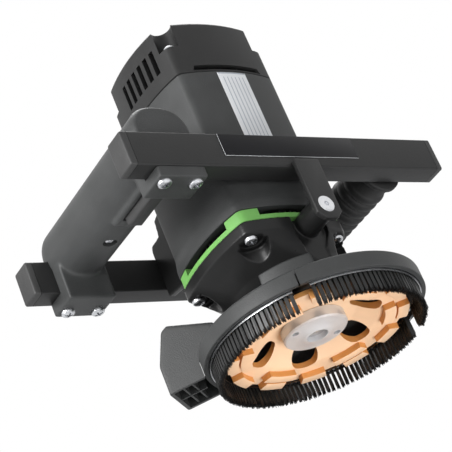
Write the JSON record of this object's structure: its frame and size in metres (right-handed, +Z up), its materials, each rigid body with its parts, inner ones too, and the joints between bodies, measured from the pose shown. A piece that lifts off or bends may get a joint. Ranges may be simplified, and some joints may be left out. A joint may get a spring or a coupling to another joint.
{
  "type": "concrete grinder",
  "caption": "Hand-held concrete surface grinder: upright motor in a bar frame with a switch handle and a ribbed grip, over a diamond cup wheel in a bristle-rimmed dust hood.",
  "frame": {"origin": "centre of the bounding box in plan, in the plane of the bristle tips that the tool stands on", "axes": "+Z up the spindle towards the motor, +X along the bars from the switch handle to the ribbed grip, +Y from the front bar to the rear bar"},
  "size_m": [0.2512, 0.1761, 0.2349],
  "materials": {
    "charcoal_plastic": "fine grain",
    "cover_plastic": "fine grain",
    "black_casting": "satin black coat",
    "green_plastic": "satin",
    "black_paint": "satin",
    "cap_plastic": "matt",
    "grip_rubber": "matt",
    "zinc_steel": "zinc plated",
    "bright_steel": "turned",
    "gear_steel": "cut and hardened",
    "wheel_copper": "copper-coloured coat",
    "nut_aluminium": "turned",
    "winding_copper": "copper",
    "lamination": "laminated",
    "carbon": "sintered",
    "bristle": "nylon strands"
  },
  "bodies": {
    "frame": {"motor_housing": "charcoal_plastic", "handle_upper_shell": "charcoal_plastic", "handle_lower_shell": "charcoal_plastic", "dust_hood": "charcoal_plastic", "dust_duct": "charcoal_plastic", "motor_cover": "cover_plastic", "gear_housing": "black_casting", "bearing_plate": "black_casting", "rear_bracket": "black_casting", "air_ring": "green_plastic", "front_bar": "black_paint", "rear_bar": "black_paint", "front_arm": "black_paint", "grip_core": "black_paint", "front_bar_left_cap": "cap_plastic", "front_bar_right_cap": "cap_plastic", "rear_bar_left_cap": "cap_plastic", "rear_bar_right_cap": "cap_plastic", "hose_socket": "cap_plastic", "switch_module": "cap_plastic", "upper_bearing_bracket": "cap_plastic", "grip_sleeve": "grip_rubber", "cable_gland": "grip_rubber", "front_left_clamp_screw": "zinc_steel", "front_right_clamp_screw": "zinc_steel", "rear_left_clamp_screw": "zinc_steel", "rear_right_clamp_screw": "zinc_steel", "rear_bracket_bolt": "zinc_steel", "spindle_bearing": "bright_steel", "spindle_bush": "bright_steel", "lower_motor_bearing": "bright_steel", "upper_motor_bearing": "bright_steel", "arm_screw": "bright_steel", "trigger_pin": "bright_steel", "gate_hinge_pin": "bright_steel", "brush_channel": "bright_steel", "stator": "lamination", "carbon_brush_left": "carbon", "carbon_brush_right": "carbon", "brush_bristles_1": "bristle", "brush_bristles_2": "bristle", "brush_bristles_3": "bristle", "brush_bristles_4": "bristle", "brush_bristles_5": "bristle"},
    "spindle": {"spindle": "bright_steel", "drive_gear": "gear_steel", "backing_flange": "bright_steel", "cup_wheel": "wheel_copper", "clamping_nut": "nut_aluminium"},
    "armature": {"armature_shaft": "gear_steel", "pinion": "gear_steel", "armature_core": "lamination", "commutator": "winding_copper", "cooling_fan": "cap_plastic"},
    "trigger": {"trigger": "grip_rubber"},
    "gate": {"hood_gate": "charcoal_plastic", "gate_brush_channel": "bright_steel", "gate_brush_bristles_1": "bristle", "gate_brush_bristles_2": "bristle", "gate_brush_bristles_3": "bristle"}
  },
  "joints": [
    {"name": "spindle_spin", "type": "hinge", "parent": "frame", "child": "spindle", "pos_m": [0.0146, -0.01185, 0.029], "axis": [0, 0, 1], "continuous": true},
    {"name": "armature_spin", "type": "hinge", "parent": "frame", "child": "armature", "pos_m": [-0.0029, -0.01185, 0.109], "axis": [0, 0, 1], "continuous": true},
    {"name": "trigger_press", "type": "hinge", "parent": "frame", "child": "trigger", "pos_m": [-0.0894, -0.04185, 0.1125], "axis": [1, 0, 0], "range_deg": [0, 8], "stiffness_Nm_per_rad": 0.5, "springref_deg": -5.73},
    {"name": "gate_swing", "type": "hinge", "parent": "frame", "child": "gate", "pos_m": [0.09149, -0.03245, 0.0205], "axis": [0, 0, 1], "range_deg": [0, 90]}
  ],
  "couplings": [
    {"joint": "armature_spin", "follows": "spindle_spin", "ratio": -2.5}
  ]
}
